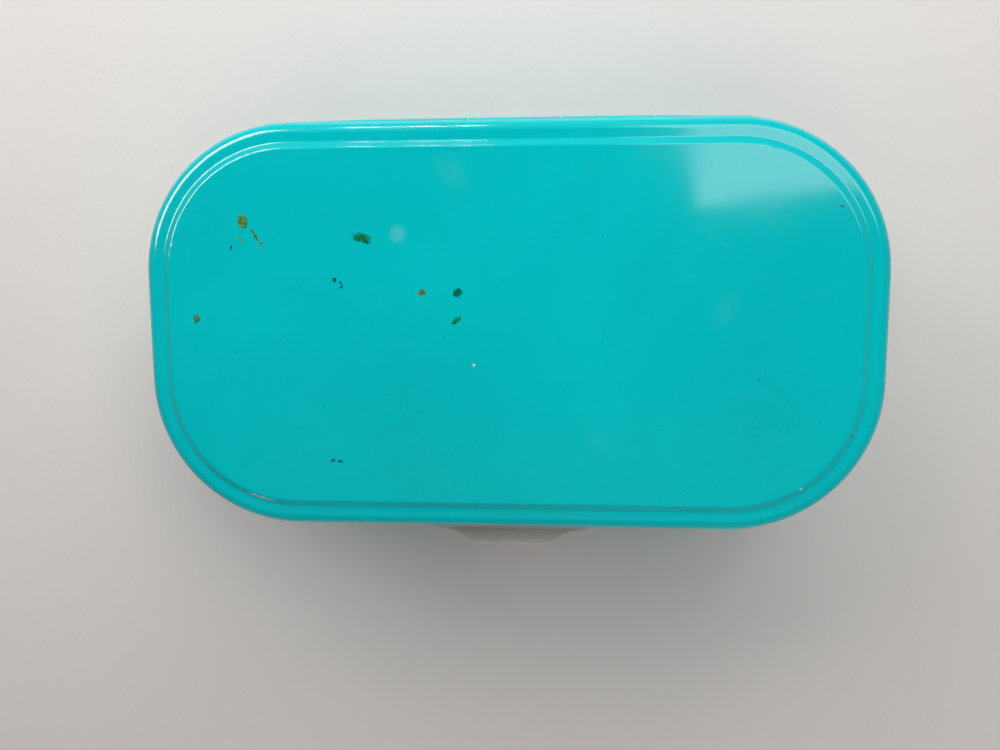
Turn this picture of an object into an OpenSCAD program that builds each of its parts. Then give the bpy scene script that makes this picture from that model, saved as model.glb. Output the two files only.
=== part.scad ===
// Bento lunch box: a hinged two-part shell with a front latch, and a half-length
// food tray with a divider and a fork inside. Millimetres, +Z up, origin under
// the middle of the base. The hinge is at +Y and the latch at -Y.

/* [Shell] */
// Length of the box at its rim
shell_length = 177; // [170:1:186]
// Width of the box at its rim, without the hinge and the latch
shell_width = 99; // [96:1:104]
// Height of the closed box
shell_height = 62; // [60:1:66]
// Corner radius of the rim in plan
corner_r = 37; // [35:0.5:39]
// Height of the parting line between base and lid
parting_z = 36; // [35:0.5:37]
// How far the walls lean in from the rim, in degrees
draft = 4; // [3:0.5:5]
// Wall thickness of both shells
wall = 2; // [1.8:0.1:2.2]

/* [Lid] */
// Radius of the lid's upper edge
lid_edge_r = 3; // [2.5:0.1:3.5]
// Height of the raised panel above the lid's border
panel_rise = 1; // [0.7:0.1:1.2]
// Width of the border, from the upper edge of the wall to the foot of the panel's slope
border_w = 4.9; // [4.4:0.1:5.4]
// Width of the panel's sloping edge
slope_w = 1.4; // [1.2:0.1:1.8]
// Radius at the top and at the foot of that slope
slope_r = 1.2; // [0.6:0.1:1.4]

/* [Base] */
// Radius of the base's lower edge
base_edge_r = 7; // [6:0.5:8]
// Height of the tongue that stands up inside the lid's wall
tongue_h = 3; // [2.5:0.1:3.5]
// Thickness of the tongue
tongue_t = 1.2; // [1:0.1:1.3]

/* [Hinge] */
// Length of the row of knuckles along the back
hinge_length = 118; // [110:1:120]
// Outer radius of a knuckle
knuckle_r = 1.5; // [1.4:0.05:1.6]
// Radius of the steel pins
pin_r = 0.7; // [0.6:0.05:0.75]

/* [Latch] */
// Width of the latch plate
latch_w = 40; // [38:1:42]
// Thickness of the latch plate
latch_t = 1.8; // [1.6:0.1:2]
// Height of the latch's pin
latch_pin_z = 14; // [13:0.5:15]
// Height of the latch plate's upper end
latch_top_z = 50.5; // [50:0.5:52]
// How far the pull lip reaches out from the crease at its root
lip_out = 3.8; // [3.4:0.1:4.2]
// How far the lip's tip rises above the plate
lip_rise = 1.5; // [1:0.1:2]

/* [Tray] */
// Depth of the food tray below its flange
tray_depth = 20; // [17:1:22]
// Wall thickness of the tray
tray_wall = 1.6; // [1.4:0.1:1.8]
// Where the divider stands along the tray
divider_x = -47; // [-50:1:-40]
// Length of the fork
fork_length = 76; // [70:1:77]

/* [Hidden] */
$fn = 96;

shell_colour = [0.0, 0.68, 0.71];
latch_colour = [0.62, 0.59, 0.58];
tray_colour = [0.93, 0.93, 0.9];
steel_colour = [0.75, 0.75, 0.77];

eps = 0.01;
seam = 0.2;               // visible gap between lid and base
seam_chamfer = 0.4;       // softened edge on both sides of the seam
lean = tan(draft);
seat_gap = 0.25;          // clearance between the tongue and the lid's wall

// Corner centres of the shell in plan. Profiles are drawn as distance out from
// these centres against height.
cx = shell_length / 2 - corner_r;
cy = shell_width / 2 - corner_r;
shell_corners = [[cx, cy, 0], [-cx, cy, 0], [-cx, -cy, 0], [cx, -cy, 0]];

// Distance from a corner centre to the outside of the wall, at height z
function wall_out(z) = corner_r - abs(z - parting_z) * lean;
// The same for the inside of the wall
function wall_in(z) = wall_out(z) - wall / cos(draft);
// How far out the centre of a round edge of radius r lies, if the leaning wall
// is at distance d at that centre's height
function edge_centre(d, r) = d - r / cos(draft);

// Lid levels
lid_z = parting_z + seam / 2;
border_z = shell_height - panel_rise;
lid_edge_z = border_z - lid_edge_r;
lid_edge_x = edge_centre(wall_out(lid_edge_z), lid_edge_r);
slope_out = wall_out(border_z - lid_edge_r) - border_w;
slope_in = slope_out - slope_w;
ceiling_r = 2;            // radius inside the lid's upper edge

// Base levels
base_z = parting_z - seam / 2;
foot_rise = 1;            // the base stands on a panel this much below its border
foot_x = 25;              // edge of that panel, out from the corner centres
foot_slope = 1.2;
base_edge_z = foot_rise + base_edge_r;
base_edge_x = edge_centre(wall_out(base_edge_z), base_edge_r);
tongue_out = corner_r - wall;
tongue_in = tongue_out - tongue_t;
ledge_z = parting_z - 2.5;    // the tray's flange rests here
ledge_in = tongue_in - 1.8;
ledge_t = 1.7;

// Hinge
hinge_y = shell_width / 2 + 0.8;
knuckle_gap = 0.3;        // along the pin, between neighbouring knuckles
knuckle_clear = 0.25;     // around a knuckle, to the other shell
pin_play = 0.02;          // radial, where the pin is held
bore_play = 0.07;         // radial, where a part turns on the pin
gusset_h = 4.2;           // how far a knuckle's web runs along the wall
web_y = shell_width / 2 - 1.1;
// Ends of the five knuckles, the base's and the lid's in turn
knuckle_x = [-0.5, -0.3, -0.1, 0.1, 0.3, 0.5] * hinge_length;

// Latch
plate_in = shell_width / 2 + 0.4;     // distance of the plate's inner face from the middle
plate_out = plate_in + latch_t;
latch_y = -(plate_in + latch_t - 0.2);  // the latch's pin: the plate's weight is inside it
latch_knuckle_r = 2.2;
neck_w = 28.8;
ear_gap = 0.3;
ear_t = 3.6;
ear_r = 2.6;
plate_low_z = latch_pin_z + 3.6;
plate_corner = 4;
ease_w = 5;                           // how far in from its sides the plate thins
ease_t = 1.1;                         // by how much it thins there
ease_r = (ease_w * ease_w + ease_t * ease_t) / (2 * ease_t);
hook_z = parting_z + 9.7;             // underside of the hook
hook_h = 2;
hook_gap = 0.3;                       // between the hook's tip and the lid's wall
hook_tip = cy + wall_out(hook_z) + hook_gap;
hook_w = 26;
catch_gap = 0.2;
catch_w = 28;
catch_out = plate_in - 0.15;           // how far out the lid's ridge comes
lip_root = latch_w / 2 - 0.6;         // half the lip's width where it leaves the plate
lip_tip = 8.4;                        // half its width at the tip
lip_h = 9.5;                          // height of the scoop below the lip
crease_y = -plate_in - 1.1;           // the crease that parts the lip from the plate's top
crease_drop = 0.7;                    // depth of that crease
lip_steps = 12;

// Tray. It fills the -X half of the base.
flange_t = 1.6;
flange_top = ledge_z + flange_t;
flange_out = tongue_in - 0.3;
flange_x = -1;
flange_corner = 4;
tub_r = 10;                           // corner radius beside the fork's bar
tub_out = ledge_in - 0.4;
tub_x = -13;
tub_floor_z = flange_top - tray_depth;
tub_edge_r = 4;
tray_lean = tan(3);
bar_t = 2.6;
groove_w = 9.2;
groove_depth = 1.2;
groove_x = (flange_x + tub_x) / 2;
rib_t = 1.2;
rib_out = 1.3;
divider_t = 1.6;
divider_play = 0.15;
divider_drop = 2.5;                   // the divider's top is this far below the flange

// Reference outlines for the tray: its small corners have radius 0
tub_y = cy + tub_out - tub_r;
tub_corners = [[tub_x - tub_r, tub_y, 0], [-cx, cy, tub_out - tub_r],
               [-cx, -cy, tub_out - tub_r], [tub_x - tub_r, -tub_y, 0]];
flange_y = cy + flange_out - flange_corner;
flange_corners = [[flange_x - flange_corner, flange_y, 0],
                  [-cx, cy, flange_out - flange_corner],
                  [-cx, -cy, flange_out - flange_corner],
                  [flange_x - flange_corner, -flange_y, 0]];

// Fork
fork_w = 8.4;
fork_t = 2;
fork_z = flange_top - groove_depth + 0.02;
handle_w = 5;
tine_w = 1.7;
tine_l = 17;
neck_y = fork_length / 2 - 27;        // where the fork's head begins to widen

// ---------------------------------------------------------------- building blocks

function normal(i) = [cos(90 * i), sin(90 * i)];
function tangent_point(c, i, grow) = [c.x, c.y] + (c.z + grow) * normal(i);

// Sweeps a profile round an outline of four quarter turns. A corner is
// [x, y, radius], anticlockwise from the +x +y one, and the profile is drawn as
// distance out from that outline against height.
module swept(corners) {
    for (i = [0:3]) {
        a = corners[i];
        b = corners[(i + 1) % 4];
        pa = tangent_point(a, i + 1, 0);
        pb = tangent_point(b, i + 1, 0);
        translate([a.x, a.y, 0])
            rotate([0, 0, 90 * i])
                rotate_extrude(angle = 90)
                    translate([a.z, 0]) children();
        translate([(pa.x + pb.x) / 2, (pa.y + pb.y) / 2, 0])
            rotate([90, 0, 90 * (i + 1)])
                linear_extrude(norm(pa - pb), center = true) children();
    }
}

// The outline itself, grown outwards and filled
module filled(corners, grow) {
    polygon([for (i = [0:3]) each [tangent_point(corners[i], i, grow),
                                   tangent_point(corners[i], i + 1, grow)]]);
    for (c = corners) translate([c.x, c.y]) circle(c.z + grow);
}

// A rod along X
module rod(r, x0, x1, y, z) {
    translate([x0, y, z]) rotate([0, 90, 0]) cylinder(r = r, h = x1 - x0);
}

// Extrudes a drawing of Y against Z along X
module along_x(x0, x1) {
    translate([x0, 0, 0]) rotate([90, 0, 90]) linear_extrude(x1 - x0) children();
}

// The point on the way from p to q where a round of radius r at p begins, when
// the other side of the corner leaves towards s
function unit(v) = v / norm(v);
function half_angle(p, q, s) = acos(unit(q - p) * unit(s - p)) / 2;
function round_end(p, q, s, r) = p + unit(q - p) * r / tan(half_angle(p, q, s));
function round_centre(p, q, s, r) =
    p + unit(unit(q - p) + unit(s - p)) * r / sin(half_angle(p, q, s));

// ---------------------------------------------------------------- shell profiles

module lid_outside() {
    border = [lid_edge_x, border_z];
    foot = [slope_out, border_z];
    crest = [slope_in, shell_height];
    middle = [0, shell_height];
    difference() {
        union() {
            polygon([[0, lid_z], [corner_r - seam_chamfer, lid_z],
                     [corner_r, lid_z + seam_chamfer],
                     [lid_edge_x + lid_edge_r * cos(draft), lid_edge_z + lid_edge_r * sin(draft)],
                     border, round_end(foot, border, crest, slope_r),
                     round_end(foot, crest, border, slope_r),
                     round_end(crest, foot, middle, slope_r),
                     round_end(crest, middle, foot, slope_r), middle]);
            translate([lid_edge_x, lid_edge_z]) circle(lid_edge_r);
            translate(round_centre(crest, foot, middle, slope_r)) circle(slope_r);
        }
        translate(round_centre(foot, border, crest, slope_r)) circle(slope_r);
    }
}

module lid_inside() {
    top_z = border_z - wall;
    round_z = top_z - ceiling_r;
    round_x = edge_centre(wall_in(round_z), ceiling_r);
    seat = tongue_out + seat_gap;
    step_z = lid_z + tongue_h + 0.5;
    polygon([[0, 0], [seat, 0], [seat, step_z], [wall_in(step_z + 0.6), step_z + 0.6],
             [round_x + ceiling_r * cos(draft), round_z + ceiling_r * sin(draft)],
             [round_x, top_z], [slope_out - wall * 0.6, top_z],
             [slope_in - wall * 0.6, shell_height - wall], [0, shell_height - wall]]);
    translate([round_x, round_z]) circle(ceiling_r);
}

module base_outside() {
    tongue_z = base_z + tongue_h;
    polygon([[0, 0], [foot_x, 0], [foot_x + foot_slope, foot_rise], [base_edge_x, foot_rise],
             [base_edge_x + base_edge_r * cos(draft), base_edge_z - base_edge_r * sin(draft)],
             [corner_r, base_z - seam_chamfer], [corner_r - seam_chamfer, base_z],
             [tongue_out, base_z], [tongue_out, tongue_z - 0.5],
             [tongue_out - 0.4, tongue_z], [0, tongue_z]]);
    translate([base_edge_x, base_edge_z]) circle(base_edge_r);
}

module base_inside() {
    r = base_edge_r - wall;
    bead_z = ledge_z - ledge_t;
    bead_low = bead_z - (wall_in(bead_z) - ledge_in);
    high = parting_z + 2 * tongue_h;
    polygon([[0, wall], [foot_x - foot_slope, wall], [foot_x, foot_rise + wall],
             [base_edge_x, foot_rise + wall],
             [base_edge_x + r * cos(draft), base_edge_z - r * sin(draft)],
             [wall_in(bead_low), bead_low], [ledge_in, bead_z], [ledge_in, ledge_z],
             [tongue_in, ledge_z], [tongue_in, high], [0, high]]);
    translate([base_edge_x, base_edge_z]) circle(r);
}

// ---------------------------------------------------------------- hinge

// Knuckles first, first + 2 and so on, with webs that run up (side 1) or down (-1)
module knuckles(first, side) {
    for (i = [first:2:4]) {
        x0 = knuckle_x[i] + (i > 0 ? knuckle_gap / 2 : 0);
        x1 = knuckle_x[i + 1] - (i < 4 ? knuckle_gap / 2 : 0);
        rod(knuckle_r, x0, x1, hinge_y, parting_z);
        along_x(x0, x1)
            polygon([[hinge_y, parting_z + side * knuckle_r],
                     [web_y + 0.9, parting_z + side * gusset_h],
                     [web_y, parting_z + side * gusset_h],
                     [web_y, parting_z + side * seam / 2],
                     [hinge_y, parting_z + side * seam / 2]]);
    }
}

// Room in one shell for the other shell's knuckles
module knuckle_room(first) {
    for (i = [first:2:4])
        rod(knuckle_r + knuckle_clear, knuckle_x[i] - knuckle_gap / 2,
            knuckle_x[i + 1] + knuckle_gap / 2, hinge_y, parting_z);
}

module hinge_bore(play) {
    rod(pin_r + play, -hinge_length / 2 - 1, hinge_length / 2 + 1, hinge_y, parting_z);
}

// ---------------------------------------------------------------- parts

module base_tub() color(shell_colour) {
    difference() {
        union() {
            swept(shell_corners) difference() {
                base_outside();
                base_inside();
            }
            translate([-cx, -cy, 0]) cube([2 * cx, 2 * cy, wall]);
            knuckles(0, -1);
            latch_ears();
        }
        knuckle_room(1);
        hinge_bore(pin_play);
        rod(pin_r + pin_play, -neck_w, neck_w, latch_y, latch_pin_z);
    }
}

// Two ears on the front wall that hold the latch's pin
module latch_ears() {
    root_y = -(cy + wall_out(latch_pin_z) - wall / 2);
    for (side = [-1, 1]) {
        x0 = side * (neck_w / 2 + ear_gap + ear_t / 2) - ear_t / 2;
        rod(ear_r, x0, x0 + ear_t, latch_y, latch_pin_z);
        translate([x0, latch_y, latch_pin_z - ear_r]) cube([ear_t, root_y - latch_y, 2 * ear_r]);
    }
}

module lid_shell() color(shell_colour) {
    difference() {
        union() {
            swept(shell_corners) difference() {
                lid_outside();
                lid_inside();
            }
            translate([-cx, -cy, shell_height - wall]) cube([2 * cx, 2 * cy, wall]);
            knuckles(1, 1);
            lid_catch();
        }
        knuckle_room(0);
        knuckle_room(2);
        knuckle_room(4);
        hinge_bore(bore_play);
    }
}

// The ridge on the lid's front wall that the latch hooks over
module lid_catch() {
    top = hook_z - catch_gap;
    root = cy + corner_r - wall;
    along_x(-catch_w / 2, catch_w / 2)
        polygon([[-root, top - 3.6], [-(cy + wall_out(top - 3.6)), top - 3.6],
                 [-catch_out, top - 1.3], [-catch_out, top - 0.2],
                 [-catch_out + 0.2, top], [-root, top]]);
}

module hinge_pin() color(steel_colour)
    rod(pin_r, -hinge_length / 2 + 0.4, hinge_length / 2 - 0.4, hinge_y, parting_z);

module latch_pin() color(steel_colour) {
    half = neck_w / 2 + ear_gap + ear_t - 0.3;
    rod(pin_r, -half, half, latch_y, latch_pin_z);
}

// Half the lip's outline in plan at a share s of its way out: wide at the plate
// and narrow at the tip, with a hollow flank
function flank(s) = [lip_root - (lip_root - lip_tip) * s, crease_y - lip_out * s * s];

module lip_plan() {
    side = [for (i = [0:lip_steps]) flank(i / lip_steps)];
    back = -plate_in - 0.2;
    polygon(concat([[lip_root, back]], side,
                   [for (i = [lip_steps:-1:0]) [-side[i].x, side[i].y]], [[-lip_root, back]]));
}

// Side view of the lip, Y against Z: a hollow scoop below, and a top that
// rises from a crease at the plate to the tip
module lip_side() {
    back = -plate_in - 0.2;
    tip = crease_y - lip_out;
    out = -plate_out - tip;
    low = latch_top_z - crease_drop - lip_h;
    scoop_r = (lip_h * lip_h + out * out) / (2 * out);
    difference() {
        polygon([[back, low], [tip - eps, low], [tip - eps, latch_top_z + lip_rise],
                 [tip + 0.5, latch_top_z + lip_rise], [crease_y, latch_top_z - crease_drop],
                 [back, latch_top_z - crease_drop]]);
        translate([-plate_out - scoop_r, low]) circle(scoop_r);
    }
}

// The plate in plan: its front curves back towards both sides, and stops at the crease
// above the lip
module plate_plan(front) {
    x = latch_w / 2 - ease_w;
    intersection() {
        translate([-latch_w / 2, front]) square([latch_w, -plate_in - front]);
        union() {
            for (side = [-1, 1]) translate([side * x, ease_r - plate_out]) circle(ease_r);
            translate([-x, -plate_out]) square([2 * x, latch_t]);
        }
    }
}

// Front view of the plate, X against Z
module latch_face() {
    x = latch_w / 2 - plate_corner;
    low = plate_low_z + plate_corner;
    high = latch_top_z - 2;
    for (side = [-1, 1]) {
        translate([side * x, low]) circle(plate_corner);
        translate([side * (latch_w / 2 - 2), high]) circle(2);
    }
    translate([-latch_w / 2, low]) square([latch_w, high - low]);
    translate([-x, plate_low_z]) square([2 * x, plate_corner + 1]);
    translate([-latch_w / 2 + 2, high - 1]) square([latch_w - 4, 3]);
    translate([-neck_w / 2, latch_pin_z]) square([neck_w, plate_low_z - latch_pin_z + 1]);
}

module latch_clip() color(latch_colour) {
    difference() {
        union() {
            intersection() {
                translate([0, -plate_in, 0]) rotate([90, 0, 0])
                    linear_extrude(latch_t) latch_face();
                union() {
                    linear_extrude(latch_top_z - crease_drop) plate_plan(-plate_out);
                    linear_extrude(latch_top_z) plate_plan(crease_y);
                }
            }
            rod(latch_knuckle_r, -neck_w / 2, neck_w / 2, latch_y, latch_pin_z);
            intersection() {
                along_x(-latch_w / 2, latch_w / 2) lip_side();
                linear_extrude(shell_height) lip_plan();
            }
            along_x(-hook_w / 2, hook_w / 2)
                polygon([[-plate_in - 0.5, hook_z], [-hook_tip, hook_z],
                         [-hook_tip, hook_z + 0.6],
                         [-plate_in, hook_z + hook_h], [-plate_in - 0.5, hook_z + hook_h]]);
        }
        rod(pin_r + bore_play, -neck_w, neck_w, latch_y, latch_pin_z);
    }
}

// The tray's tub as a solid, up to distance top from tub_corners at height z1
module tub_solid(top, r, z0, z1) {
    translate([0, 0, z0]) linear_extrude(z1 - z0) filled(tub_corners, 0);
    swept(tub_corners) tub_profile(top, r, z0, z1);
}

module tub_profile(top, r, z0, z1) {
    low = top - (z1 - z0) * tray_lean;
    polygon([[0, z0], [low - r, z0], [low, z0 + r], [top, z1], [0, z1]]);
    translate([low - r, z0 + r]) circle(r);
}

module bento_tray() color(tray_colour) {
    difference() {
        union() {
            translate([0, 0, ledge_z]) linear_extrude(flange_t)
                filled(flange_corners, flange_corner);
            translate([tub_x - 1, -flange_y, flange_top - bar_t])
                cube([flange_x - tub_x + 1, 2 * flange_y, bar_t]);
            tub_solid(tub_r, tub_edge_r, tub_floor_z - tray_wall, flange_top);
        }
        tub_solid(tub_r - tray_wall, tub_edge_r - tray_wall, tub_floor_z, flange_top + 1);
        translate([groove_x - groove_w / 2, -fork_length / 2 - 0.8, flange_top - groove_depth])
            cube([groove_w, fork_length + 1.6, groove_depth + 1]);
    }
    divider_ribs();
}

// Two pairs of upright ribs that hold the divider
module divider_ribs() {
    root = tub_out + cy - tray_wall;
    for (side = [-1, 1], end = [-1, 1])
        translate([divider_x + side * (divider_t / 2 + divider_play + rib_t / 2) - rib_t / 2,
                   end > 0 ? root - rib_out - 0.7 : -root - 0.6, tub_floor_z + 2])
            cube([rib_t, rib_out + 1.3, tray_depth - 2 - divider_drop]);
}

module tray_divider() color(tray_colour) {
    z0 = tub_floor_z + 0.05;
    z1 = flange_top - divider_drop;
    low = tub_y + tub_r - tray_wall - tray_depth * tray_lean - divider_play;
    high = low + (z1 - z0) * tray_lean;
    r = tub_edge_r;
    along_x(divider_x - divider_t / 2, divider_x + divider_t / 2) {
        polygon([[-low + r, z0], [low - r, z0], [low, z0 + r], [high, z1 - 1], [high - 1, z1],
                 [1 - high, z1], [-high, z1 - 1], [-low, z0 + r]]);
        for (end = [-1, 1]) translate([end * (low - r), z0 + r]) circle(r);
    }
}

// The fork lies along Y in its groove, tines towards +Y
module food_fork() color(latch_colour) {
    y0 = -fork_length / 2;
    y1 = fork_length / 2;
    tine_x = (fork_w - tine_w) / 2;
    translate([groove_x, 0, fork_z]) difference() {
        linear_extrude(fork_t) {
            translate([0, y0 + fork_w / 2]) circle(fork_w / 2);
            polygon([[-fork_w / 2, y0 + fork_w / 2], [fork_w / 2, y0 + fork_w / 2],
                     [handle_w / 2, y0 + 16], [handle_w / 2, neck_y],
                     [fork_w / 2, neck_y + 7], [fork_w / 2, y1 - tine_l + 1],
                     [-fork_w / 2, y1 - tine_l + 1], [-fork_w / 2, neck_y + 7],
                     [-handle_w / 2, neck_y], [-handle_w / 2, y0 + 16]]);
            for (x = [-tine_x, 0, tine_x]) {
                translate([x - tine_w / 2, y1 - tine_l]) square([tine_w, tine_l - tine_w / 2]);
                translate([x, y1 - tine_w / 2]) circle(tine_w / 2);
            }
        }
        translate([0, y0 + fork_w / 2, -1]) cylinder(r = 1.6, h = fork_t + 2);
    }
}

base_tub();
lid_shell();
hinge_pin();
latch_clip();
latch_pin();
bento_tray();
tray_divider();
food_fork();
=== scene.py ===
"""A hinged bento lunch box of glossy turquoise plastic with a warm-grey pull latch.

The closed box stands on a pale floor and is seen from above its lid. Inside it are
an off-white food tray, a divider and a small fork, which show when the lid opens.
"""
import math

import bmesh
import bpy
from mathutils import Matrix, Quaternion, Vector


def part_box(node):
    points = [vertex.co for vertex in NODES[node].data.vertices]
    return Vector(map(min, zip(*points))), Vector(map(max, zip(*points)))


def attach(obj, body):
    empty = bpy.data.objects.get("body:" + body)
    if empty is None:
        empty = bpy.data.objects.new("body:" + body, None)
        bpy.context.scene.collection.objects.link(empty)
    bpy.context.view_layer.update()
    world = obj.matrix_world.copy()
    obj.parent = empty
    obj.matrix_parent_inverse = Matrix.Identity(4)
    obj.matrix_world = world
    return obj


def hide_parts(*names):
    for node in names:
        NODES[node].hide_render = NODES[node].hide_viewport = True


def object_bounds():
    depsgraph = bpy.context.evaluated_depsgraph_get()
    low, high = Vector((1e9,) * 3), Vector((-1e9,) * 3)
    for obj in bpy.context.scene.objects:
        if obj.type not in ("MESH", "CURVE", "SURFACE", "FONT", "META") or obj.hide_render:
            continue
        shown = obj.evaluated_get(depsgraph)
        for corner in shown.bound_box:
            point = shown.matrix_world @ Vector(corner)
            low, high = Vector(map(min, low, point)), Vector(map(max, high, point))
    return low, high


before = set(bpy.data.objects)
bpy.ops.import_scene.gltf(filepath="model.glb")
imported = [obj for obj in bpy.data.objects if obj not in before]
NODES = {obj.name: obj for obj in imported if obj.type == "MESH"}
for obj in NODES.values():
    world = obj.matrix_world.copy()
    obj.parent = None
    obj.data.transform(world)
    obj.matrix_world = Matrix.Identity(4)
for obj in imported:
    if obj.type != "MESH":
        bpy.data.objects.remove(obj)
cad_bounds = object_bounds()

MM = 0.001
LOW, HIGH = (Vector(corner) for corner in cad_bounds)
CENTRE = (LOW + HIGH) / 2

# The shell's outline in plan: a rectangle between the corner centres, grown by the radius
CORNER_R = 37 * MM
SHELL_WIDTH = 99 * MM
CENTRE_X = HIGH.x - CORNER_R
CENTRE_Y = SHELL_WIDTH / 2 - CORNER_R
PANEL_RISE = 1.0 * MM

# The free ends of the hinge's row of knuckles
KNUCKLE_RADII = (1.3 * MM, 1.6 * MM)  # a knuckle's surface lies between these
PAST_PIN = 0.3 * MM                   # an end is at least this far past the pin's end
TOWARDS_WALL = 0.3 * MM               # the taper reaches this far in from the pin
TAPER = 0.3                           # the share of the radius that an end loses

# Meshes
MERGE = 0.002 * MM                    # points closer than this become one
FLAT = math.radians(0.1)              # faces that turn by less than this become one
SHARP = math.radians(28)              # edges that turn by more than this are rounded
GRID = 0.02 * MM                      # places on the shell's profile are rounded to this
LEVEL = 0.9999                        # a level face's normal points at least so far up
ASIDE = 0.05                          # a swept face's normal turns less than this sideways


# ---------------------------------------------------------------- meshes

def linked(name, mesh, material):
    """A new object in the scene with one material."""
    piece = bpy.data.objects.new(name, mesh)
    bpy.context.scene.collection.objects.link(piece)
    mesh.materials.append(material)
    return piece


def smooth(mesh, angle=35.0):
    """Shades a mesh smooth, but for edges that turn by more than angle degrees."""
    work = bmesh.new()
    work.from_mesh(mesh)
    for face in work.faces:
        face.smooth = True
    for edge in work.edges:
        edge.smooth = edge.is_manifold and edge.calc_face_angle(0.0) < math.radians(angle)
    work.to_mesh(mesh)
    work.free()


def taper_hinge(work):
    """Narrows the two free ends of the hinge row, so that they blend into the corners."""
    low, high = (Vector(corner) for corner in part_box("hinge_pin"))
    axis = (low + high) / 2
    inner, outer = KNUCKLE_RADII
    for vert in work.verts:
        reach = Vector((0.0, vert.co.y - axis.y, vert.co.z - axis.z))
        at_end = abs(vert.co.x) > high.x + PAST_PIN
        clear_of_wall = reach.y > -TOWARDS_WALL
        if at_end and clear_of_wall and inner < reach.length < outer:
            vert.co -= TAPER * reach


def rounded_copy(node, width):
    """A CAD node's mesh with flat faces made whole and every sharp edge rounded."""
    work = bmesh.new()
    work.from_mesh(NODES[node].data)
    bmesh.ops.remove_doubles(work, verts=work.verts, dist=MERGE)
    if node == "base_tub":
        taper_hinge(work)
    bmesh.ops.dissolve_limit(work, angle_limit=FLAT, verts=work.verts, edges=work.edges)
    sharp = [edge for edge in work.edges
             if edge.is_manifold and edge.calc_face_angle(0.0) > SHARP]
    bmesh.ops.bevel(work, geom=sharp, offset=width, offset_type="OFFSET", segments=3,
                    profile=0.5, affect="EDGES", clamp_overlap=True, loop_slide=True)
    mesh = bpy.data.meshes.new(node)
    work.to_mesh(mesh)
    work.free()
    smooth(mesh)
    return mesh


def outward(point):
    """The outline's outward direction at a point, and the distance from its rectangle.

    Over the rectangle itself there is no such direction, and both are zero.
    """
    nearest = Vector((max(-CENTRE_X, min(CENTRE_X, point.x)),
                      max(-CENTRE_Y, min(CENTRE_Y, point.y))))
    away = point.xy - nearest
    if away.length < 1e-6:
        return Vector((0.0, 0.0)), 0.0
    return away.normalized(), away.length


def profile_place(point):
    """Where a point lies on the shell's profile, to the nearest GRID."""
    _, distance = outward(point)
    return round(distance / GRID), round(point.z / GRID)


def even_normals(mesh, spread=30.0):
    """Gives all points at one place of the shell's profile the same lean.

    The shell is a profile carried round its outline, so the normals there differ only
    in direction. That keeps the reflections in the round edges clean. Faces whose
    leans differ by more than spread degrees keep their edge.
    """
    leans = {}
    faces = []
    for face in mesh.polygons:
        out, _ = outward(face.center)
        side = Vector((-out.y, out.x, 0.0))
        level = abs(face.normal.z) > LEVEL
        even = level or (out.length > 0.5 and abs(face.normal.dot(side)) < ASIDE)
        lean = math.atan2(face.normal.z, face.normal.xy.dot(out))
        faces.append((even, lean))
        if not even:
            continue
        for index in face.vertices:
            place = profile_place(mesh.vertices[index].co)
            leans.setdefault(place, []).append((lean, face.area))
    normals = [loop.normal.copy() for loop in mesh.loops]
    for face, (even, lean) in zip(mesh.polygons, faces):
        if not even:
            continue
        for loop in face.loop_indices:
            normals[loop] = face.normal.copy()
            point = mesh.vertices[mesh.loops[loop].vertex_index].co
            out, _ = outward(point)
            near = [(other, area) for other, area in leans[profile_place(point)]
                    if abs(other - lean) < math.radians(spread)]
            total = sum(area for _, area in near)
            if total and out.length > 0.5:
                mean = sum(other * area for other, area in near) / total
                normals[loop] = Vector((out.x * math.cos(mean), out.y * math.cos(mean),
                                        math.sin(mean)))
    mesh.normals_split_custom_set(normals)


def moulded(node, material, width, body, swept=False):
    """A softer copy of a CAD node, which stands for it and rides on its body."""
    mesh = rounded_copy(node, width)
    piece = linked(node + "_moulded", mesh, material)
    if swept:
        even_normals(mesh)
    else:
        normals = piece.modifiers.new("normals", "WEIGHTED_NORMAL")
        normals.keep_sharp = True
    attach(piece, body)
    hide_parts(node)


# ---------------------------------------------------------------- materials

# How far one step of seed moves a pattern of marks, in metres
SEED_STEP = (0.211, 0.093, 0.057)


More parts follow.
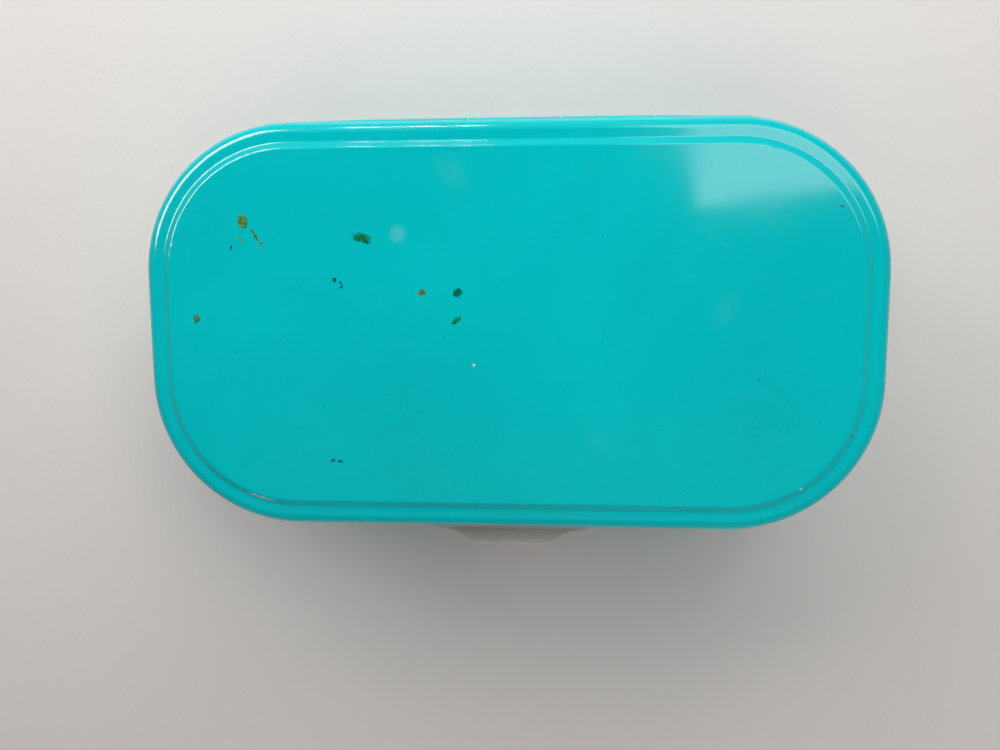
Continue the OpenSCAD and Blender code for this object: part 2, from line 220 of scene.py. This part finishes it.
class Shader:
    """A node material that is built up one step at a time."""

    def __init__(self, name):
        self.material = bpy.data.materials.new(name)
        self.material.use_nodes = True
        self.tree = self.material.node_tree
        self.surface = self.tree.nodes["Principled BSDF"]
        self.place = self.tree.nodes.new("ShaderNodeTexCoord").outputs["Object"]

    def node(self, kind, inputs=None, **settings):
        made = self.tree.nodes.new(kind)
        for key, value in settings.items():
            setattr(made, key, value)
        for key, value in (inputs or {}).items():
            self.put(made.inputs[key], value)
        return made

    def put(self, socket, value):
        if isinstance(value, bpy.types.NodeSocket):
            self.tree.links.new(value, socket)
        else:
            socket.default_value = value

    def noise(self, scale, detail=3.0, roughness=0.55, distortion=0.0, place=None):
        made = self.node("ShaderNodeTexNoise", {
            "Vector": place or self.place, "Scale": scale, "Detail": detail,
            "Roughness": roughness, "Distortion": distortion})
        return made.outputs["Fac"]

    def math(self, operation, a, b=0.0):
        return self.node("ShaderNodeMath", {0: a, 1: b}, operation=operation).outputs[0]

    def ramp(self, value, low, high, start=0.0, end=1.0):
        """value from low to high becomes start to end, smoothly, and is held outside."""
        made = self.node("ShaderNodeMapRange", {
            "Value": value, "From Min": low, "From Max": high,
            "To Min": start, "To Max": end}, interpolation_type="SMOOTHSTEP")
        return made.outputs["Result"]

    def mix(self, share, a, b):
        made = self.node("ShaderNodeMix", data_type="RGBA")
        colours = [s for s in made.inputs if s.type == "RGBA"]
        self.put(made.inputs[0], share)
        self.put(colours[0], a)
        self.put(colours[1], b)
        return next(s for s in made.outputs if s.type == "RGBA")

    def placed(self, scale=(1.0, 1.0, 1.0), turn=0.0, shift=(0.0, 0.0, 0.0), place=None):
        """Coordinates moved by -shift, turned by -turn degrees about Z and scaled."""
        moved = self.node("ShaderNodeVectorMath", {0: place or self.place, 1: shift},
                          operation="SUBTRACT").outputs[0]
        turned = self.node("ShaderNodeVectorRotate", {
            "Vector": moved, "Angle": math.radians(-turn)}, rotation_type="Z_AXIS").outputs[0]
        return self.node("ShaderNodeVectorMath", {0: turned, 1: scale},
                         operation="MULTIPLY").outputs[0]

    def bump(self, height, distance, strength=1.0, normal=None):
        made = self.node("ShaderNodeBump", {
            "Height": height, "Distance": distance, "Strength": strength})
        if normal is not None:
            self.put(made.inputs["Normal"], normal)
        return made.outputs["Normal"]

    def set(self, **inputs):
        for key, value in inputs.items():
            self.put(self.surface.inputs[key.replace("_", " ")], value)

    # marks of use, each a share from 0 to 1

    def marks(self, length, width, amount, turn=0.0, seed=0.0):
        """Thin ovals in one direction, on a share, amount, of the cells of a stretched grid.

        length and width are about an oval's own, in metres.
        """
        drift = self.node("ShaderNodeTexNoise", {"Vector": self.place, "Scale": 30.0})
        bend = self.node("ShaderNodeVectorMath", {
            0: drift.outputs["Color"], 1: (4 * MM, 4 * MM, 0.0)}, operation="MULTIPLY").outputs[0]
        bent = self.node("ShaderNodeVectorMath", {0: self.place, 1: bend},
                         operation="ADD").outputs[0]
        cells = self.node("ShaderNodeTexVoronoi", {
            "Vector": self.placed((1 / length, 1 / width, 1 / width), turn,
                                  tuple(step * seed for step in SEED_STEP), bent),
            "Scale": 0.5, "Randomness": 1.0})
        share = self.node("ShaderNodeSeparateColor", {0: cells.outputs["Color"]}).outputs[0]
        return self.math("MULTIPLY", self.math("LESS_THAN", share, amount),
                         self.ramp(cells.outputs["Distance"], 0.12, 0.42, 1.0, 0.0))

    def hairlines(self, amount, seed=0.0):
        """Fine scratches in three directions."""
        rising = self.marks(12 * MM, 0.12 * MM, amount, 24.0, seed)
        falling = self.marks(7 * MM, 0.10 * MM, amount, -33.0, seed + 1)
        across = self.marks(5 * MM, 0.12 * MM, amount, 81.0, seed + 2)
        return self.math("MAXIMUM", self.math("MAXIMUM", rising, falling), across)

    def patch(self, x, y, length, width, turn, edge, ragged):
        """An oval round (x, y), in millimetres on the lid.

        edge is how softly it ends, and ragged how uneven that edge is, as shares of it.
        """
        place = self.placed((2 / (length * MM), 2 / (width * MM), 0.0), turn,
                            (x * MM, y * MM, 0.0))
        reach = self.node("ShaderNodeVectorMath", {0: place}, operation="LENGTH").outputs["Value"]
        chips = self.math("SUBTRACT", self.noise(1700.0, 4.0, 0.7), 0.5)
        reach = self.math("ADD", reach, self.math("MULTIPLY", chips, ragged))
        return self.ramp(reach, 1.0 - edge, 1.0 + edge, 1.0, 0.0)

    def above(self, height):
        """Everything higher than height, in metres."""
        z = self.node("ShaderNodeSeparateXYZ", {0: self.place}).outputs["Z"]
        return self.math("GREATER_THAN", z, height)


def rgb(red, green, blue):
    """A display colour, 0 to 255, as a linear one."""
    return tuple(((c / 255 + 0.055) / 1.055) ** 2.4 if c > 10 else c / 255 / 12.92
                 for c in (red, green, blue)) + (1.0,)


TURQUOISE_DEEP = rgb(0, 179, 184)
TURQUOISE_PALE = rgb(0, 188, 192)
GRIME = rgb(20, 118, 112)
SCRATCHED = rgb(60, 200, 205)
OLIVE = rgb(88, 132, 8)
BOTTLE_GREEN = rgb(0, 92, 48)
MOSS = rgb(20, 122, 44)
PLUM = rgb(44, 44, 84)
CHALK = rgb(190, 222, 220)

# What is left of a worn-off print: (x, y, length, width, turn, colour), in mm on the lid
FLECKS = [
    (-62, 25, 2.4, 3.0, 0, OLIVE), (-59, 21.5, 4.0, 0.6, -58, OLIVE),
    (-57.6, 19.8, 1.2, 0.7, -50, OLIVE), (-62.6, 21, 2.2, 0.5, -62, OLIVE),
    (-65, 19, 1.0, 0.5, 80, BOTTLE_GREEN), (-34, 21.2, 4.4, 1.9, -8, MOSS),
    (-33, 20.2, 2.4, 0.8, -18, BOTTLE_GREEN), (-40.6, 11.4, 1.1, 1.0, 40, PLUM),
    (-39.2, 10.8, 0.8, 0.6, -30, PLUM), (-39, 9.8, 1.0, 0.6, 50, PLUM),
    (-20, 8.5, 2.2, 1.5, 22, OLIVE), (-11.7, 8.4, 2.2, 1.7, 30, BOTTLE_GREEN),
    (-12, 2, 2.6, 1.1, 38, MOSS), (-74, 2.4, 1.8, 1.6, 35, OLIVE),
    (-74, 1.8, 1.9, 0.5, 32, BOTTLE_GREEN), (-8, -8.5, 0.7, 0.8, 0, CHALK),
    (68, -37, 0.8, 0.6, 0, CHALK), (79, -24.5, 0.7, 0.6, 0, OLIVE),
    (74.5, 27.5, 0.8, 0.5, -30, PLUM), (-42, -31.6, 1.2, 0.7, 0, PLUM),
    (-40.3, -31.8, 1.2, 0.6, -10, BOTTLE_GREEN), (57.5, -11.5, 0.4, 0.4, 0, PLUM),
    (-60, -41, 6.0, 0.5, -16, CHALK),
]
# Pale patches, which only pale the lid a little: (x, y, length, width, turn, share)
# The first and the last, on the upper left, are painted reflections: a small soft highlight spot
# and a faint broad sheen. The middle two are faint smears.
SMEARS_AND_SHEEN = [(-25.5, 22, 3, 3, 10, 0.10), (49.5, 4.5, 7, 4, 60, 0.015), (21, -26, 4, 4, 0, 0.015),
          (-13, 36, 7, 5, -50, 0.02)]


def moulded_turquoise(m):
    """The shell's colour before wear: pigment that swirls a little as it flowed."""
    flow = m.noise(9.0, 4.0, distortion=0.6)
    return m.mix(m.ramp(flow, 0.35, 0.65), TURQUOISE_DEEP, TURQUOISE_PALE)


def shell_wear(m, colour, amount):
    """Adds grime, dots and hairlines to colour; returns colour, roughness and normal."""
    lines = m.hairlines(0.02 * amount)
    grime = m.math("MULTIPLY", m.ramp(m.noise(30.0, 6.0, 0.7), 0.50, 0.68),
                   m.ramp(m.noise(700.0, 5.0, 0.8), 0.46, 0.64))
    dots = m.marks(0.5 * MM, 0.4 * MM, 0.006 * amount, 30.0, 5.0)
    dark_lines = m.marks(3 * MM, 0.1 * MM, 0.012 * amount, 86.0, 9.0)
    colour = m.mix(m.math("MULTIPLY", grime, 0.20), colour, GRIME)
    colour = m.mix(m.math("MULTIPLY", lines, 0.12), colour, SCRATCHED)
    colour = m.mix(m.math("MULTIPLY", dark_lines, 0.22), colour, GRIME)
    colour = m.mix(m.math("MULTIPLY", dots, 0.45), colour, GRIME)
    blotch = m.noise(18.0, 5.0, 0.6, 0.4)
    rough = m.ramp(blotch, 0.35, 0.7, 0.07, 0.12)
    rough = m.math("ADD", rough, m.math("MULTIPLY", lines, 0.15))
    rough = m.math("ADD", rough, m.math("MULTIPLY", grime, 0.12))
    ripple = m.bump(m.noise(30.0, 1.0), 0.02 * MM, 0.2)
    return colour, rough, m.bump(lines, -0.005 * MM, 0.4, ripple)


def shell_plastic():
    m = Shader("shell_plastic")
    colour, rough, normal = shell_wear(m, moulded_turquoise(m), 1.0)
    m.set(Base_Color=colour, Roughness=rough, Normal=normal, IOR=1.5)
    return m.material


def lid_plastic():
    """The shell's plastic with flecks of an old print, worn away, on the panel."""
    m = Shader("lid_plastic")
    colour, rough, normal = shell_wear(m, moulded_turquoise(m), 1.4)
    panel = m.above(HIGH.z - PANEL_RISE)
    inked = m.ramp(m.noise(2600.0, 3.0, 0.7), 0.36, 0.5, 0.55, 0.95)
    shade = m.ramp(m.noise(1300.0, 2.0), 0.45, 0.6)
    printed = None
    for x, y, length, width, turn, ink in FLECKS:
        fleck = m.patch(x, y, length, width, turn, edge=0.2, ragged=1.8)
        dark = tuple(0.4 * part for part in ink[:3]) + (1.0,)
        share = m.math("MULTIPLY", m.math("MULTIPLY", fleck, panel), inked)
        colour = m.mix(share, colour, m.mix(shade, ink, dark))
        printed = fleck if printed is None else m.math("MAXIMUM", printed, fleck)
    # Pale patches in CHALK: two are painted reflections of light, the other two are smears
    for x, y, length, width, turn, share in SMEARS_AND_SHEEN:
        blotch = m.patch(x, y, length, width, turn, edge=0.8, ragged=1.5)
        colour = m.mix(m.math("MULTIPLY", blotch, share), colour, CHALK)
    rough = m.math("ADD", rough, m.math("MULTIPLY", printed, 0.1))
    m.set(Base_Color=colour, Roughness=rough, IOR=1.5,
          Normal=m.bump(printed, 0.02 * MM, 0.5, normal))
    return m.material


def latch_plastic():
    m = Shader("latch_plastic")
    colour = m.mix(m.ramp(m.noise(60.0, 4.0), 0.35, 0.65), rgb(186, 167, 162),
                   rgb(196, 177, 172))
    scuffs = m.hairlines(0.03, 7.0)
    grime = m.ramp(m.noise(300.0, 5.0, 0.7), 0.56, 0.72)
    colour = m.mix(m.math("MULTIPLY", scuffs, 0.35), colour, rgb(214, 206, 200))
    colour = m.mix(m.math("MULTIPLY", grime, 0.25), colour, rgb(140, 124, 114))
    rough = m.math("ADD", m.ramp(m.noise(200.0), 0.3, 0.7, 0.32, 0.44),
                   m.math("MULTIPLY", scuffs, 0.12))
    m.set(Base_Color=colour, Roughness=rough, IOR=1.48,
          Normal=m.bump(m.noise(1800.0, 2.0), 0.01 * MM, 0.5, m.bump(scuffs, -0.008 * MM, 0.5)))
    return m.material


def tray_plastic():
    m = Shader("tray_plastic")
    colour = m.mix(m.ramp(m.noise(30.0, 4.0), 0.35, 0.65), rgb(226, 225, 218),
                   rgb(235, 234, 228))
    cuts = m.hairlines(0.035, 11.0)
    stain = m.math("MULTIPLY", m.ramp(m.noise(45.0, 5.0, 0.6), 0.52, 0.75),
                   m.ramp(m.noise(500.0, 4.0, 0.7), 0.4, 0.65))
    colour = m.mix(m.math("MULTIPLY", cuts, 0.35), colour, rgb(196, 192, 180))
    colour = m.mix(m.math("MULTIPLY", stain, 0.22), colour, rgb(206, 192, 156))
    rough = m.math("ADD", m.ramp(m.noise(160.0), 0.3, 0.7, 0.24, 0.36),
                   m.math("MULTIPLY", cuts, 0.15))
    m.set(Base_Color=colour, Roughness=rough, IOR=1.49,
          Normal=m.bump(m.noise(1500.0, 2.0), 0.01 * MM, 0.4, m.bump(cuts, -0.01 * MM, 0.5)))
    return m.material


def pin_steel():
    m = Shader("pin_steel")
    grain = m.noise(1.0, 2.0, place=m.placed((60.0, 4000.0, 4000.0)))
    m.set(Base_Color=m.mix(grain, rgb(170, 170, 172), rgb(196, 196, 198)),
          Roughness=m.ramp(grain, 0.3, 0.7, 0.25, 0.4), Metallic=1.0,
          Normal=m.bump(grain, 0.01 * MM, 0.3))
    return m.material


def floor_paper():
    m = Shader("floor_paper")
    m.set(Base_Color=m.mix(m.noise(9.0, 5.0), rgb(207, 202, 199), rgb(213, 208, 205)),
          Roughness=0.85, Normal=m.bump(m.noise(700.0, 3.0), 0.2 * MM, 0.3))
    return m.material


SHELL = shell_plastic()
LID = lid_plastic()
LATCH = latch_plastic()
TRAY = tray_plastic()
STEEL = pin_steel()

# Each piece's node, material, width of its rounded edges, and body; the two shells are swept
moulded("base_tub", SHELL, 0.25 * MM, "base", swept=True)
moulded("lid_shell", LID, 0.25 * MM, "lid", swept=True)
moulded("latch_clip", LATCH, 0.35 * MM, "latch")
moulded("hinge_pin", STEEL, 0.2 * MM, "base")
moulded("latch_pin", STEEL, 0.2 * MM, "base")
moulded("bento_tray", TRAY, 0.4 * MM, "base")
moulded("tray_divider", TRAY, 0.5 * MM, "base")
moulded("food_fork", LATCH, 0.5 * MM, "base")


# ---------------------------------------------------------------- stage

def add_floor():
    """A pale square of paper at the height that the box stands on."""
    mesh = bpy.data.meshes.new("floor")
    half = 3.0
    mesh.from_pydata([(-half, -half, 0), (half, -half, 0), (half, half, 0), (-half, half, 0)],
                     [], [(0, 1, 2, 3)])
    floor = bpy.data.objects.new("floor", mesh)
    bpy.context.scene.collection.objects.link(floor)
    floor.location.z = LOW.z
    mesh.materials.append(floor_paper())


def add_camera(place, tilt, turn, roll, lens):
    """Stands above the lid: tilt is about X, turn about Y, and roll about the view."""
    data = bpy.data.cameras.new("camera")
    data.lens = lens
    data.sensor_width = 36.0
    data.clip_start = 0.01
    camera = bpy.data.objects.new("camera", data)
    bpy.context.scene.collection.objects.link(camera)
    camera.location = place
    camera.rotation_mode = "XYZ"
    camera.rotation_euler = (math.radians(tilt), math.radians(turn), math.radians(roll))
    bpy.context.scene.camera = camera


def add_light(name, place, target, size, power, lights=True, mirrored=True, spin=0.0):
    """A soft panel that faces target, turned by spin degrees about its own axis.

    It can light the surfaces, show in their gloss, or do both.
    """
    data = bpy.data.lights.new(name, "AREA")
    data.shape = "RECTANGLE"
    data.size, data.size_y = size
    data.energy = power
    light = bpy.data.objects.new(name, data)
    bpy.context.scene.collection.objects.link(light)
    light.location = place
    facing = (Vector(place) - Vector(target)).to_track_quat("Z", "Y")
    light.rotation_euler = (facing @ Quaternion((0, 0, 1), math.radians(spin))).to_euler()
    light.visible_diffuse = lights
    light.visible_glossy = mirrored


def add_world(horizon=0.2, zenith=0.04):
    """A studio whose walls are paler than its ceiling."""
    world = bpy.data.worlds.new("world")
    world.use_nodes = True
    tree = world.node_tree
    direction = tree.nodes.new("ShaderNodeTexCoord").outputs["Generated"]
    split = tree.nodes.new("ShaderNodeSeparateXYZ")
    tree.links.new(direction, split.inputs[0])
    fade = tree.nodes.new("ShaderNodeMapRange")
    fade.interpolation_type = "SMOOTHSTEP"
    tree.links.new(split.outputs["Z"], fade.inputs["Value"])
    for name, value in (("From Min", 0.05), ("From Max", 0.6),
                        ("To Min", horizon), ("To Max", zenith)):
        fade.inputs[name].default_value = value
    background = tree.nodes["Background"]
    background.inputs["Color"].default_value = (0.98, 0.98, 1.0, 1.0)
    tree.links.new(fade.outputs["Result"], background.inputs["Strength"])
    bpy.context.scene.world = world


add_floor()
add_camera(place=(0.01352, 0.01575, 0.2699), tilt=-7.25, turn=4.21, roll=-0.2, lens=32.4)
# These light the surfaces and don't show in the gloss
add_light("key", (-0.08, 0.38, 0.30), CENTRE, (0.8, 0.35), 3.0, mirrored=False)
add_light("fill", (0.0, -0.4, 0.95), CENTRE, (0.8, 0.4), 2.0, mirrored=False)
add_light("front", (0.25, -0.8, 0.16), CENTRE, (0.6, 0.2), 1.6, mirrored=False)
# These show in the gloss, and the window lights the surfaces too
add_light("strip", (-0.57, 0.40, 0.6), CENTRE, (0.68, 0.28), 8.0, lights=False)
add_light("window", (0.427, 0.466, 1.0), (0.427, 0.466, 0.0), (0.6, 0.7), 5.0, spin=7.4)
for lamp_x in (-0.2, -0.137, -0.088):
    add_light("lamp", (lamp_x, 0.7, 0.45), CENTRE, (0.03, 0.03), 0.3, lights=False)
add_world()
bpy.context.scene.view_settings.view_transform = "Standard"
